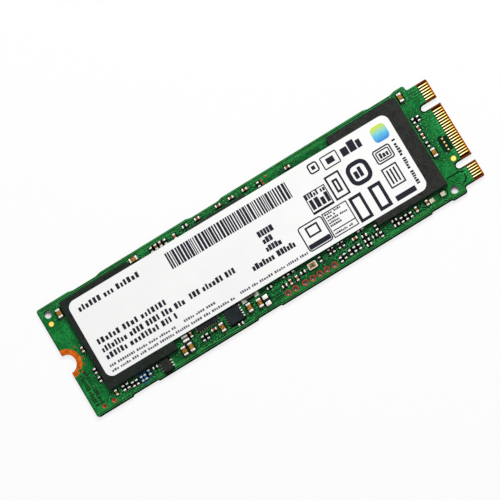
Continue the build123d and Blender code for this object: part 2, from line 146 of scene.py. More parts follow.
# %% A finish
class Finish:
    """A material, built from nodes, around one surface shader."""

    def __init__(self, name, roughness=0.5, metallic=0.0, **constants):
        self.material = bpy.data.materials.new(name)
        self.material.use_nodes = True
        self.tree = self.material.node_tree
        self.surface = self.tree.nodes["Principled BSDF"]
        self.set(Roughness=roughness, Metallic=metallic, **constants)

    def feed(self, socket, value):
        """Links a wire to a socket, or sets a plain value on it."""
        if isinstance(value, Wire):
            self.tree.links.new(value.socket, socket)
        else:
            socket.default_value = value

    def set(self, **sockets):
        """Feeds the surface shader's own sockets."""
        for name, value in sockets.items():
            self.feed(self.surface.inputs[name.replace("_", " ")], value)
        return self

    def node(self, kind, settings, sockets, output=0):
        """Adds a node, with its settings first and its sockets after, and gives one of its outputs."""
        made = self.tree.nodes.new(kind)
        for name, value in settings.items():
            setattr(made, name, value)
        for name, value in sockets.items():
            self.feed(made.inputs[name], value)
        return Wire(self, made.outputs[output])

    def mix(self, share, first, second):
        """The first colour where share is 0, the second where it is 1."""
        return self.node("ShaderNodeMix", {"data_type": "RGBA"}, {0: share, 6: first, 7: second}, 2)

    def place(self):
        """Where a point of the surface is, in millimetres."""
        where = self.node("ShaderNodeTexCoord", {}, {}, 3)
        return self.node("ShaderNodeVectorMath", {"operation": "SCALE"}, {0: where, 3: 1 / MM})

    def parts(self, vector):
        """The three numbers of a vector."""
        split = self.node("ShaderNodeSeparateXYZ", {}, {0: vector})
        return [Wire(self, socket) for socket in split.socket.node.outputs]

    def stretch(self, vector, x, y, z):
        """The vector with each of its numbers scaled on its own."""
        return self.node("ShaderNodeVectorMath", {"operation": "MULTIPLY"}, {0: vector, 1: (x, y, z)})

    def facing(self):
        """The three numbers of the way that the surface faces."""
        return self.parts(self.node("ShaderNodeNewGeometry", {}, {}, 1))

    def noise(self, where, size, detail=3.0, roughness=0.55):
        """Cloudy noise around 0.5, with blobs about size millimetres across."""
        return self.node("ShaderNodeTexNoise", {}, {"Vector": where, "Scale": 1 / size, "Detail": detail,
                                                    "Roughness": roughness})

    def bump(self, height, depth):
        """Puts a relief, depth millimetres deep, on the surface."""
        self.set(Normal=self.node("ShaderNodeBump", {}, {"Height": height, "Strength": 1.0,
                                                         "Distance": depth * MM}))
        return self


# %% [markdown]
# ## Reading the drawing's solids
#
# The solder and the traces have to meet the parts where they really are, and the drawing knows that
# best. A node such as the resistors' ends holds many small solids in one mesh. Points that share a
# place belong together, and faces join them into groups, so each solid's own box can be found.


# %% Boxes of a node's solids
def solids(node):
    """The lowest and highest corner of each solid in a node, in millimetres."""
    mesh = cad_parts[node].data
    numbers = {}
    ids = [numbers.setdefault(tuple(round(c / MM, 3) for c in v.co), len(numbers)) for v in mesh.vertices]
    lead = list(range(len(numbers)))

    def group(i):
        while lead[i] != i:
            lead[i] = lead[lead[i]]
            i = lead[i]
        return i

    for face in mesh.polygons:
        first = group(ids[face.vertices[0]])
        for v in face.vertices[1:]:
            lead[group(ids[v])] = first
    boxes = {}
    for place, i in numbers.items():
        low, high = boxes.setdefault(group(i), (list(place), list(place)))
        for axis in range(3):
            low[axis] = min(low[axis], place[axis])
            high[axis] = max(high[axis], place[axis])
    return list(boxes.values())


def middle(box):
    """The middle of a box, seen from above."""
    return Vector(((box[0][0] + box[1][0]) / 2, (box[0][1] + box[1][1]) / 2))


# %% [markdown]
# ## Light and floor
#
# A product picture on white has light from all sides. The sky here is an even grey that metals and the
# camera see as white, and one soft lamp behind the card gives each part a bright and a shaded side.
# The floor could be lit until it turns white, but that would bleach the object too. Instead it glows
# to the camera and in reflections, around the card only, and keeps a part of its true shading. Below
# the card, where only the holes show it, nearly all of its shading is real.

# %% Sky
SKY_LIGHT, SKY_SEEN = 0.26, 1.0


def studio_sky():
    """An even grey light from all sides, white to the camera and in reflections."""
    world = bpy.data.worlds.new("studio")
    scene.world = world
    world.use_nodes = True
    tree = world.node_tree
    background = tree.nodes["Background"]
    background.inputs["Color"].default_value = (1.0, 1.0, 1.0, 1.0)
    ray = tree.nodes.new("ShaderNodeLightPath").outputs
    looked_at = tree.nodes.new("ShaderNodeMath")
    looked_at.operation = "MAXIMUM"
    tree.links.new(ray["Is Camera Ray"], looked_at.inputs[0])
    tree.links.new(ray["Is Glossy Ray"], looked_at.inputs[1])
    strength = tree.nodes.new("ShaderNodeMapRange")
    tree.links.new(looked_at.outputs[0], strength.inputs[0])
    strength.inputs[3].default_value = SKY_LIGHT
    strength.inputs[4].default_value = SKY_SEEN
    tree.links.new(strength.outputs[0], background.inputs["Strength"])


studio_sky()
print("sky lights at", SKY_LIGHT, "and looks like", SKY_SEEN)


# %% Lamp
def lamp(name, spot, size, watts):
    """A square soft lamp that shines on the card's middle; the spot and size are in millimetres."""
    light = bpy.data.lights.new(name, "AREA")
    light.size = size * MM
    light.energy = watts
    held = bpy.data.objects.new(name, light)
    held.location = Vector(spot) * MM
    held.rotation_euler = (-Vector(spot)).to_track_quat("-Z", "Y").to_euler()
    scene.collection.objects.link(held)


lamp("soft_lamp", (210, 270, 450), size=200, watts=3.2)


# %% Floor
FLOOR_GLOW = 0.82  # how much of the floor's white doesn't depend on the light
HOLE_GLOW = 0.02  # the same where only the card's holes show the floor
UNDER_X, UNDER_REACH_X, UNDER_REACH_Y = -1.9, 37.9, 10.7
NOTCH_X, NOTCH_REACH = -37.4, 2.4


def floor_finish():
    """White to the camera and in reflections, with a part of its real shading."""
    finish = Finish("floor_white", roughness=0.9)
    grain = finish.noise(finish.place(), 3.0)
    finish.set(Base_Color=finish.mix(grain, paint(238, 238, 238), paint(244, 244, 244)))
    glow = finish.node("ShaderNodeEmission", {}, {"Color": (1.0, 1.0, 1.0, 1.0), "Strength": 1.0})
    ray = finish.tree.nodes.new("ShaderNodeLightPath").outputs
    camera_ray, glossy_ray, through_ray = (
        Wire(finish, ray[name]) for name in ("Is Camera Ray", "Is Glossy Ray", "Is Transmission Ray"))
    x, y, _ = finish.parts(finish.place())
    notch = (x < NOTCH_X) * (abs(y) < NOTCH_REACH)
    below = (abs(x - UNDER_X) < UNDER_REACH_X) * (abs(y) < UNDER_REACH_Y) * (1 - notch)
    shown = camera_ray * (FLOOR_GLOW - below * (FLOOR_GLOW - HOLE_GLOW))
    mirrored = glossy_ray.maths("MAXIMUM", glossy_ray, through_ray) * (1 - below)
    mixed = finish.node("ShaderNodeMixShader", {}, {0: shown.maths("MAXIMUM", shown, mirrored),
                                                    1: Wire(finish, finish.surface.outputs[0]), 2: glow})
    finish.feed(finish.tree.nodes["Material Output"].inputs["Surface"], mixed)
    return finish


def stage_floor(size, drop):
    """A square floor, size millimetres wide, a hair below the card."""
    mesh = bpy.data.meshes.new("floor")
    half = size / 2 * MM
    corners = [(-half, -half, -drop * MM), (half, -half, -drop * MM), (half, half, -drop * MM),
               (-half, half, -drop * MM)]
    mesh.from_pydata(corners, [], [(0, 1, 2, 3)])
    floor = bpy.data.objects.new("floor", mesh)
    scene.collection.objects.link(floor)
    mesh.materials.append(floor_finish().material)


stage_floor(size=3000, drop=0.05)

# %% [markdown]
# ## Finishes of the card
#
# Solder mask is a thin green lacquer over copper and laminate. It is glossy, slightly wavy, lighter
# where copper lies under it, and it stops at the cut edges, where the brown laminate shows its layers
# of glass cloth. One finish does all of this: it asks which way the surface faces and how far along
# the card it lies, and mixes its colours from that.


# %% Ink mark
MIDDLE_Z = 0.4  # half way through the card, which is 0.8 mm thick
BLOT_X, BLOT_Y = -29.1, -8.85


def inked(finish, where, colour, cover=0.94):
    """The colour, with a blot of blue marker ink that hides a share of it, on the upper side."""
    x, y, z = finish.parts(where)
    spread = finish.noise(where, 0.8) * 0.9
    reach = ((x - BLOT_X) ** 2.0 + (y - BLOT_Y) ** 2.0) ** 0.5 + spread
    blot = (1 - reach.clear(1.62, 1.95)) * (z > MIDDLE_Z)
    shade = finish.mix(finish.noise(where, 0.5), paint(6, 50, 92), paint(22, 100, 148))
    return finish.mix(blot * cover, colour, shade)


# %% The contact tab
TAB_START, TAB_REACH, TIP_BEVEL = 37.95, 9.925, 39.74
KEYS, KEY_REACH = ((37.1, 5.625), (37.1, -6.125)), 0.6
TAB_SIDES = [y + side * KEY_REACH for _, y in KEYS for side in (-1, 1)] + [-TAB_REACH, TAB_REACH]
PITCH, UPPER_SHIFT, LOWER_SHIFT = 0.5, 0.25, 0.0
print("the tab has sides at", sorted(TAB_SIDES))


def from_contact(finish, across, shift):
    """How far a point lies from the middle line of the nearest contact of a row, in millimetres."""
    row = (across - shift) / PITCH + 100.0
    return abs(row - row.maths("ROUND", row)) * PITCH


# %% Solder mask and laminate
def mask_colour(finish, where, lightness=0.0):
    """Mask green, with painted shade in patches among the two rows of parts; lightness is 1 over copper."""
    cloud = finish.noise(where, 2.2, 4.0, 0.6).clear(0.4, 0.62)
    weave = finish.noise(where, 0.4, 4.0, 0.7).clear(0.35, 0.65)
    dark = finish.mix(weave, paint(0, 66, 26), paint(6, 120, 48))
    pale = finish.mix(weave, paint(0, 116, 44), paint(44, 168, 84))
    colour = finish.mix(cloud * 0.5 + lightness * 0.5, dark, pale)
    x, y, _ = finish.parts(where)
    across = abs(y)
    # Painted shade: darker green in patches among the two rows of parts, less of it over copper.
    rows = across.clear(7.7, 8.0) * (1 - across.clear(9.6, 10.0)) * (1 - abs(x).clear(31.5, 34.0))
    painted_shade_patches = finish.noise(where, 1.1, 3.0, 0.6).clear(0.36, 0.56)
    colour = finish.mix(rows * painted_shade_patches * (0.76 - lightness * 0.36), colour, paint(0, 36, 15))
    return finish.mix(across.clear(9.85, 10.15) * 0.035, colour, paint(160, 180, 130))


def board_finish():
    """Green mask on both faces, brown laminate on the tab and darker layered cloth at the cut edges."""
    finish = Finish("board_mask_and_laminate", Specular_IOR_Level=0.0, Coat_Roughness=0.25)
    where = finish.place()
    x, y, z = finish.parts(where)
    face_z = finish.facing()[2]
    flat = abs(face_z) > 0.5
    layers = finish.noise(finish.stretch(where, 0.4, 0.4, 6.0), 0.5, 3.0)
    edge = finish.mix(layers.clear(0.35, 0.7), paint(6, 16, 8), paint(46, 50, 24))
    cloud = finish.noise(where, 0.3)
    front = finish.mix(cloud, paint(96, 58, 22), paint(150, 98, 44))
    ahead = finish.mix(cloud, paint(176, 94, 20), paint(212, 134, 46))
    between = finish.mix(cloud, paint(70, 14, 0), paint(108, 28, 4))
    shift = (z > MIDDLE_Z) * UPPER_SHIFT
    bevel = finish.mix(from_contact(finish, y, shift).clear(0.1, 0.16), ahead, between)
    tip = finish.mix(abs(z - MIDDLE_Z) > 0.27, front, bevel)
    # Painted shade: the laminate between the contacts is near black, much darker than at the tab's sides.
    gap = finish.mix(cloud, paint(10, 3, 0), paint(34, 14, 2))
    bare = finish.mix(x > TIP_BEVEL, gap, tip)
    side = abs(y - TAB_SIDES[0])
    for place in TAB_SIDES[1:]:
        side = side.maths("MINIMUM", side, abs(y - place))
    brown = finish.mix(cloud, paint(60, 14, 2), paint(136, 62, 16))
    bare = finish.mix(1 - side.clear(0.26, 0.36), bare, brown)
    green = inked(finish, where, mask_colour(finish, where))
    # Painted shade: a dark band along the card's left end, where x is below -39.83.
    green = finish.mix((x < -39.83) * 0.8, green, paint(8, 34, 18))
    on_tab = x > TAB_START
    colour = finish.mix(flat, finish.mix(on_tab, edge, bare), finish.mix(on_tab, green, bare))
    finish.set(Base_Color=colour, Coat_Weight=flat * (1 - on_tab) * 0.25)
    return finish.bump(finish.noise(where, 0.6) + finish.noise(where, 0.12) * 0.3, 0.02)


def trace_finish():
    """The mask where a copper trace lifts and lightens it, with a little painted highlight."""
    finish = Finish("masked_copper_trace", Specular_IOR_Level=0.0, Coat_Weight=0.25, Coat_Roughness=0.2)
    where = finish.place()
    # Painted highlight: a little pale green mixed in, for glints on the raised mask.
    colour = finish.mix(0.06, mask_colour(finish, where, 1.0), paint(124, 204, 146))
    finish.set(Base_Color=inked(finish, where, colour))
    return finish.bump(finish.noise(where, 0.3), 0.01)


def dark_mask_finish(name, deep, pale):
    """The mask where there is no copper below and the dark core shows through; also used as painted shade.
    """
    finish = Finish(name, Specular_IOR_Level=0.0, Coat_Weight=0.1, Coat_Roughness=0.3)
    where = finish.place()
    finish.set(Base_Color=finish.mix(finish.noise(where, 0.4), deep, pale))
    return finish.bump(finish.noise(where, 0.3), 0.01)


BOARD = board_finish()
TRACE = trace_finish()
DARK_MASK = dark_mask_finish("mask_over_bare_core", paint(0, 18, 10), paint(6, 54, 30))
# The gaps' mask is darkened as painted shade, and its slabs also carry painted shade round the parts and
# along the lower edge.
GAP_AND_SHADE_MASK = dark_mask_finish("mask_in_gaps_and_painted_shade", paint(0, 6, 3), paint(2, 32, 17))
ETCHED = dark_mask_finish("etched_marks", paint(2, 28, 12), paint(40, 76, 38))
print("board finish uses", len(BOARD.tree.nodes), "nodes")

# %% [markdown]
# ## Metals
#
# Gold contacts, bare copper and tin solder are all metals, so their colour sits in what they reflect.
# Under an even white sky a perfect mirror would look like paint, so each metal gets what breaks up a
# real one: faint wipe marks along the contacts, a brown bloom on copper, a frosted grain on solder.


# %% Gold, copper and solder
def gold_finish(name, shift):
    """Plated gold with fine wipe marks, a deeper yellow towards the tip, and painted shade on the flanks.
    """
    finish = Finish(name, metallic=1.0)
    where = finish.place()
    wipe = finish.noise(finish.stretch(where, 0.25, 3.0, 1.0), 0.25, 4.0, 0.7)
    x, y, _ = finish.parts(where)
    root = finish.mix(wipe, paint(255, 238, 158), paint(255, 255, 230))
    end = finish.mix(wipe, paint(252, 206, 78), paint(255, 234, 128))
    colour = finish.mix(x.clear(38.5, 39.65), root, end)
    aside = from_contact(finish, y, shift)
    # Painted shade: each contact's flanks turn orange, then near black at its sides.
    colour = finish.mix(aside.clear(0.06, 0.085) * 0.8, colour, paint(222, 150, 44))
    colour = finish.mix(aside.clear(0.085, 0.105), colour, paint(26, 9, 1))
    colour = finish.mix(x.clear(39.6, 39.76) * 0.8, colour, paint(206, 130, 44))
    finish.set(Base_Color=colour, Roughness=wipe * 0.3 + 0.16)
    return finish.bump(wipe, 0.006)


def copper_finish(name, dull, bright, wall=None, aged=None):
    """Bare copper between two tones; duller far from the tab, and painted shade in a hole's wall."""
    finish = Finish(name, metallic=0.85)
    where = finish.place()
    bloom = finish.noise(where, 0.5, 4.0, 0.65)
    colour = finish.mix(bloom.clear(0.3, 0.7), dull, bright)
    if aged:
        colour = finish.mix(finish.parts(where)[0] < 36, colour, aged)
    if wall:
        # Painted shade: the hole's wall is near black.
        depth = abs(finish.parts(where)[2] - MIDDLE_Z)
        colour = finish.mix(depth < 0.375, colour, wall)
    finish.set(Base_Color=colour, Roughness=bloom * 0.35 + 0.2)
    return finish.bump(finish.noise(where, 0.1), 0.005)


def solder_finish(name, dull, bright, ink=False, shaded=None):
    """Frosted tin with small dents, under a chip's shadow where x is less than shaded."""
    finish = Finish(name, metallic=0.5, Specular_IOR_Level=0.3)
    where = finish.place()
    frost = finish.noise(where, 0.14, 3.0, 0.6)
    colour = finish.mix(frost.clear(0.35, 0.65), dull, bright)
    if shaded is not None:
        colour = finish.mix((finish.parts(where)[0] < shaded) * 0.85, colour, paint(34, 42, 38))
    if ink:
        colour = inked(finish, where, colour, cover=0.22)
    finish.set(Base_Color=colour, Roughness=frost * 0.4 + 0.12)
    return finish.bump(frost, 0.012)


def fiducial_finish(spots):
    """Gold of a round pad, deeper orange at its rim and in a spot at its middle."""
    finish = Finish("fiducial_gold", metallic=0.9)
    where = finish.place()
    x, y, _ = finish.parts(where)
    reach = None
    for px, py in spots:
        near = ((x - px) ** 2.0 + (y - py) ** 2.0) ** 0.5
        reach = near if reach is None else reach.maths("MINIMUM", reach, near)
    grain = finish.noise(where, 0.15)
    rim = (reach + grain * 0.1).clear(0.38, 0.5)
    spot = 1 - (reach + grain * 0.1).clear(0.08, 0.2)
    colour = finish.mix(grain, paint(236, 200, 84), paint(255, 232, 128))
    colour = finish.mix(rim.maths("MAXIMUM", rim, spot * 0.75) * 0.85, colour, paint(196, 116, 20))
    return finish.set(Base_Color=colour, Roughness=grain * 0.3 + 0.2).bump(grain, 0.006)


GOLD = fiducial_finish([middle(box) for box in solids("fiducial_pads")])
UPPER_GOLD = gold_finish("upper_contact_gold", UPPER_SHIFT)
LOWER_GOLD = gold_finish("lower_contact_gold", LOWER_SHIFT)
LAND_COPPER = copper_finish("notch_copper", paint(142, 54, 4), paint(208, 102, 16))
RING_COPPER = copper_finish("test_land_copper", paint(120, 28, 18), paint(182, 72, 48), paint(30, 12, 10))
DOT_COPPER = copper_finish("dot_copper", paint(170, 112, 66), paint(232, 176, 124), aged=paint(136, 48, 20))
TIN = solder_finish("tin_ends", paint(184, 184, 172), paint(255, 254, 248), ink=True)
JOINT_TIN = solder_finish("joint_solder", paint(34, 38, 34), paint(128, 126, 118), ink=True)
PAD_TIN = solder_finish("fluxed_pad_tin", paint(98, 80, 36), paint(238, 232, 206))
LEAD_TIN = solder_finish("lead_tin", paint(66, 62, 50), paint(176, 170, 150))
POWER_TIN = solder_finish("power_chip_tin", paint(200, 198, 190), paint(250, 250, 246), shaded=-10.1)
LOGIC_TIN = solder_finish("logic_chip_tin", paint(150, 146, 136), paint(250, 248, 240), shaded=-23.78)
BALL_TIN = solder_finish("ball_solder", paint(150, 150, 150), paint(214, 214, 212))

# %% [markdown]
# ## Moulded, fired and pressed parts
#
# Chip packages are black epoxy full of glass dust: matt, with a very fine grain. Capacitors are fired
# ceramic in tan, resistors wear a black glaze over a pale body, and the inductor is pressed ferrite.
# All of them are one kind of recipe, two tones mixed by noise with a matching grain, so one function
# makes them from their tones, grain size and roughness.


# %% Packages and chip parts
def mineral_finish(name, dark, pale, grain, roughness, depth, ink=False):
    """A matt mineral surface between two tones, with a grain in millimetres."""
    finish = Finish(name, Specular_IOR_Level=0.08)
    where = finish.place()
    fine = finish.noise(where, grain, 3.0, 0.6).clear(0.25, 0.75)
    patch = finish.noise(where, grain * 9, 2.0)
    colour = finish.mix((fine * 0.6 + patch * 0.4).clear(0.3, 0.7), dark, pale)
    if ink:
        colour = inked(finish, where, colour)
    finish.set(Base_Color=colour, Roughness=fine * 0.2 + (roughness - 0.1))
    return finish.bump(fine, depth)


EPOXY = mineral_finish("moulded_epoxy", paint(12, 15, 14), paint(54, 55, 52), 0.16, 0.58, 0.012)
# Painted shade: the same epoxy in darker tones, for the left flash package.
SHADED_EPOXY = mineral_finish("moulded_epoxy_painted_shade", paint(4, 11, 8), paint(42, 48, 44), 0.16, 0.58, 0.012)
SMALL_EPOXY = mineral_finish("small_chip_epoxy", paint(4, 12, 14), paint(40, 46, 48), 0.14, 0.5, 0.01)
TAN = mineral_finish("tan_ceramic", paint(48, 34, 12), paint(202, 144, 66), 0.26, 0.4, 0.008)
RED_TAN = mineral_finish("red_tan_ceramic", paint(70, 46, 18), paint(170, 114, 68), 0.12, 0.4, 0.008, True)
GLAZE = mineral_finish("resistor_glaze", paint(12, 12, 14), paint(40, 38, 38), 0.1, 0.35, 0.006, True)
FERRITE = mineral_finish("pressed_ferrite", paint(60, 56, 50), paint(104, 98, 88), 0.08, 0.6, 0.012)
PALE_CERAMIC = mineral_finish("pale_ceramic", paint(196, 186, 160), paint(232, 224, 200), 0.1, 0.5, 0.006)


def lid_finish(box):
    """The crystal's metal lid: a pale welded rim around a warm, mottled middle."""
    finish = Finish("crystal_lid", metallic=0.6)
    where = finish.place()
    mottle = finish.noise(where, 0.34, 4.0, 0.7)
    low, high = box
    spans = [abs(at - (low[i] + high[i]) / 2) / ((high[i] - low[i]) / 2)
             for i, at in enumerate(finish.parts(where)[:2])]
    rim = spans[0].maths("MAXIMUM", *spans).clear(0.76, 0.86)
    inner = finish.mix(mottle.clear(0.42, 0.6), paint(34, 24, 14), paint(160, 134, 98))
    finish.set(Base_Color=finish.mix(rim, inner, paint(208, 194, 170)), Roughness=mottle * 0.4 + 0.2)
    return finish.bump(mottle, 0.012)


LID = lid_finish(solids("crystal_lid")[0])

# %% [markdown]
# ## Paper and print
#
# The label is coated paper. It is never quite flat: it bridges the gaps between the chips, so its
# white carries very soft waves, and under a lens the coating shows fibres. The print is one dark
# navy ink with pinholes in it.


# %% Label paper and inks
def paper_finish():
    """Coated white paper with fibres and soft waves."""
    finish = Finish("label_paper", roughness=0.55, Specular_IOR_Level=0.3)
    where = finish.place()
    fibre = finish.noise(where, 0.16, 5.0, 0.7)
    wave = finish.noise(where, 7.0, 2.0)
    finish.set(Base_Color=finish.mix(fibre * 0.5 + wave * 0.5, paint(232, 232, 233), paint(250, 250, 248)))
    return finish.bump(wave * 1.0 + fibre * 0.02, 0.12)


def print_finish(name, deep, worn):
    """Printing ink with small pale pinholes."""
    finish = Finish(name, roughness=0.5, Specular_IOR_Level=0.12)
    where = finish.place()
    holes = finish.noise(where, 0.1, 3.0, 0.6).clear(0.6, 0.75)
    return finish.set(Base_Color=finish.mix(holes * 0.5, deep, worn)).bump(holes, 0.003)


PAPER = paper_finish()
INK = print_finish("navy_print", paint(20, 22, 34), paint(80, 82, 96))
GREY_INK = print_finish("grey_print", paint(84, 86, 98), paint(150, 152, 160))


# %% The finishes go on the drawing's nodes
worn = {}


def wear(finish, *nodes):
    """Gives CAD nodes their finish."""
    for name in nodes:
        worn[name] = finish
        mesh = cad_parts[name].data
        mesh.materials.clear()
        mesh.materials.append(finish.material)


wear(BOARD, "circuit_board")
wear(GOLD, "fiducial_pads")
wear(UPPER_GOLD, "edge_contacts_top")
wear(LOWER_GOLD, "edge_contacts_bottom")
wear(LAND_COPPER, "mount_notch_lands")
wear(RING_COPPER, "test_hole_linings")
wear(DOT_COPPER, "copper_dots")
wear(PAD_TIN, "square_test_pads")
wear(LEAD_TIN, "switch_chip_pads")
wear(POWER_TIN, "power_chip_pads")
wear(LOGIC_TIN, "logic_chip_leads")
wear(TIN, "inductor_terminals", "large_capacitor_ends", "small_capacitor_ends", "resistor_ends",
     "fuse_ends", "ferrite_bead_ends", "array_ends")
wear(BALL_TIN, "flash_balls_left", "flash_balls_right", "controller_balls", "memory_balls")
wear(EPOXY, "flash_package_right", "controller_package", "memory_package", "logic_chip_body")
wear(SHADED_EPOXY, "flash_package_left")
wear(SMALL_EPOXY, "power_chip_body", "switch_chip_body")
wear(TAN, "large_capacitor_bodies")
wear(RED_TAN, "small_capacitor_bodies")
wear(GLAZE, "resistor_bodies", "fuse_bodies", "array_bodies")
wear(FERRITE, "inductor_core", "ferrite_bead_bodies")
wear(PALE_CERAMIC, "crystal_base")
wear(LID, "crystal_lid")
wear(PAPER, "label")

# %% [markdown]
# ## Closed forms from outlines
#
# Nearly all that is added is flat and small: bars of print, copper traces, rings. Each is a closed
# slab raised from an outline, never a loose sheet, so that it has a thickness from any side. Many
# slabs of one kind go into one mesh, which keeps the list of pieces short.


# %% A mesh being filled
class Shapes:
    """Collects closed slabs in millimetres and turns them into one piece."""

    def __init__(self):
        self.mesh = bmesh.new()

    def rings(self, outlines, levels):
        """New points along some outlines, one at each level."""
        return [[self.mesh.verts.new((x, y, z)) for x, y in line] for line, z in zip(outlines, levels)]

    def skin(self, rings):
        """Faces between each ring of points and the next one, which has as many."""
        for a, b in zip(rings, rings[1:]):
            for i in range(len(a)):
                j = (i + 1) % len(a)
                self.mesh.faces.new((a[i], a[j], b[j], b[i]))

    def stack(self, outlines, levels):
        """A closed solid through outlines of as many points each, one at each level."""
        rings = self.rings(outlines, levels)
        self.skin(rings)
        self.mesh.faces.new(rings[0][::-1])
        self.mesh.faces.new(rings[-1])

    def wrap(self, outlines, levels):
        """A closed ring round a hole: the same, but the last outline is joined to the first."""
        rings = self.rings(outlines, levels)
        self.skin(rings + rings[:1])

    def slab(self, outline, low, high):
        """A closed slab over an outline that runs left about."""
        self.stack((outline, outline), (low, high))

    def frame(self, outer, inner, low, high):
        """A flat slab between two outlines with the same number of points."""
        self.wrap((outer, outer, inner, inner), (low, high, high, low))

    def turned(self, x, y, profile, steps):
        """A closed round solid from pairs of radius and level."""
        self.stack([disc(x, y, radius, steps) for radius, _ in profile], [level for _, level in profile])

    def piece(self, name, finish, slot, smooth=0):
        """The finished piece, riding on the card; edges softer than smooth degrees are shaded round."""
        data = bpy.data.meshes.new(name)
        bmesh.ops.scale(self.mesh, vec=(MM, MM, MM), verts=self.mesh.verts)
        bmesh.ops.recalc_face_normals(self.mesh, faces=self.mesh.faces)
        self.mesh.to_mesh(data)
        self.mesh.free()
        if smooth:
            data.shade_smooth()
            data.set_sharp_from_angle(angle=math.radians(smooth))
        made = bpy.data.objects.new(name, data)
        scene.collection.objects.link(made)
        data.materials.append(finish.material)
        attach(made, "root")
        print(name, "-", len(data.polygons), "faces")
        return made


# %% Outlines
def oblong(x0, y0, x1, y1, radius=0.0, steps=4):
    """A rectangle's outline, with round corners if a radius is given."""
    if not radius:
        return [(x0, y0), (x1, y0), (x1, y1), (x0, y1)]
    centres = ((x1 - radius, y0 + radius, -90), (x1 - radius, y1 - radius, 0),
               (x0 + radius, y1 - radius, 90), (x0 + radius, y0 + radius, 180))
    return [(cx + radius * math.cos(math.radians(start + 90 * k / steps)),
             cy + radius * math.sin(math.radians(start + 90 * k / steps)))
            for cx, cy, start in centres for k in range(steps + 1)]


def disc(x, y, radius, steps=24, start=0.0):
    """A round outline."""
    turns = [start + 2 * math.pi * k / steps for k in range(steps)]
    return [(x + radius * math.cos(a), y + radius * math.sin(a)) for a in turns]


def band(points, width):
    """The outline of a bent strip of one width along some points, with mitred corners."""
    sides = ([], [])
    for i, here in enumerate(points):
        here = Vector(here)
        before = (here - Vector(points[i - 1])).normalized() if i else None
        after = (Vector(points[i + 1]) - here).normalized() if i + 1 < len(points) else None
        along = ((before or after) + (after or before)).normalized()
        reach = width / 2 / max(along.dot(after or before), 0.5)
        out = Vector((-along.y, along.x)) * reach
        sides[0].append(tuple(here - out))
        sides[1].append(tuple(here + out))
    return sides[0] + sides[1][::-1]


# %% [markdown]
# ## Where the parts are
#
# All that follows asks for the boxes of the chips, of the chip parts and of their ends, so they are
# read once. An end also has to know which way it points, away from its own body, because the solder
# and the trace go out that way.


# %% Boxes of the parts
TOP, SINK = solids("circuit_board")[0][1][2], 0.01  # the upper face, and how deep a slab starts in it
families = ("large_capacitor", "small_capacitor", "resistor", "fuse", "ferrite_bead", "array")
chips = {name: solids(name) for name in (
    "power_chip_body", "switch_chip_body", "logic_chip_body", "crystal_base", "inductor_core",
    "controller_package", "memory_package", "flash_package_left", "flash_package_right")}
bodies = {name: solids(name + "_bodies") for name in families}
ends = {name: solids(name + "_ends") for name in families}
print("parts:", {name: len(found) for name, found in bodies.items()}, "top face at", TOP)


# %% Which way an end points
def outward(end, of):
    """The way, along the card or across it, in which an end points away from its own body."""
    spot = middle(end)
    body = min(of, key=lambda box: (middle(box) - spot).length)
    away = spot - middle(body)
    spare = [abs(away[axis]) - (body[1][axis] - body[0][axis]) / 2 for axis in (0, 1)]
    axis = 0 if spare[0] > spare[1] else 1
    way = Vector((0, 0))
    way[axis] = math.copysign(1, away[axis])
    return way


# %% [markdown]
# ## Solder
#
# Each end of a chip part stands in solder that has crept up its face and flows out to the pad in a
# hollow curve. Without it the parts look laid on, not soldered. A fillet is that curve, a quarter of
# an ellipse turned inside out, drawn out to the width of the end and closed underneath.


# %% Solder fillets
FILM, LAP, ROOT = 0.012, 0.03, 0.12  # film on the pad, reach past the end's sides, depth inside the end


def fillet(shapes, end, way, spread, climb, steps=5):
    """The solder at one end: up its outer face by a share of its height, and out over the pad."""
    axis = 0 if way.x else 1
    face = end[1][axis] if way[axis] > 0 else end[0][axis]
    first, last = end[0][1 - axis] - LAP, end[1][1 - axis] + LAP
    height = (end[1][2] - TOP) * climb
    turns = [math.pi / 2 * k / steps for k in range(steps + 1)]
    hollow = [(spread * (1 - math.cos(a)) + 0.001, height * (1 - math.sin(a)) + FILM) for a in turns]
    foot = spread + LAP
    profile = [(-ROOT, 0.0), (-ROOT, height + FILM), *hollow, (foot, FILM), (foot, 0.0)]
    rows = []
    for rise, at in ((0.6, first), (1.0, first + LAP), (1.0, last - LAP), (0.6, last)):
        row = []
        for reach, z in profile:
            spot = [0.0, 0.0, TOP + z * rise]
            spot[axis] = face + math.copysign(1, way[axis]) * reach
            spot[1 - axis] = at
            row.append(shapes.mesh.verts.new(spot))
        rows.append(row)
    shapes.skin(rows)
    shapes.mesh.faces.new(rows[0])
    shapes.mesh.faces.new(rows[-1][::-1])


joints = Shapes()
for family in families:
    for end in ends[family]:
        fillet(joints, end, outward(end, bodies[family]), 0.12, 0.7)
for end in solids("inductor_terminals"):
    fillet(joints, end, outward(end, chips["inductor_core"]), 0.14, 0.5)
joints.piece("solder_fillets", JOINT_TIN, "solder", smooth=40)


# %% Pads under the inductor
def inductor_pads():
    """The two pads that stick out from under the inductor's terminals."""
    low, high = chips["inductor_core"][0]
    out, inward = 0.55, 0.35
    shapes = Shapes()
    for x0, x1 in ((low[0] - out, low[0] + inward), (high[0] - inward, high[0] + out)):
        shapes.slab(oblong(x0, low[1] - inward, x1, high[1] + inward, 0.12), TOP - SINK, TOP + 0.04)
    shapes.piece("inductor_pads", TIN, "solder")


inductor_pads()

# %% [markdown]
# ## Soft edges on the chip parts
#
# A fired capacitor or a dipped end has no sharp edge: it is tumbled before it is plated. The drawing
# leaves the edges sharp, since hundreds of roundings would choke it. Here each block is made again
# from its own box, with its upright and its upper edges rounded, and stands in for the sharp one.


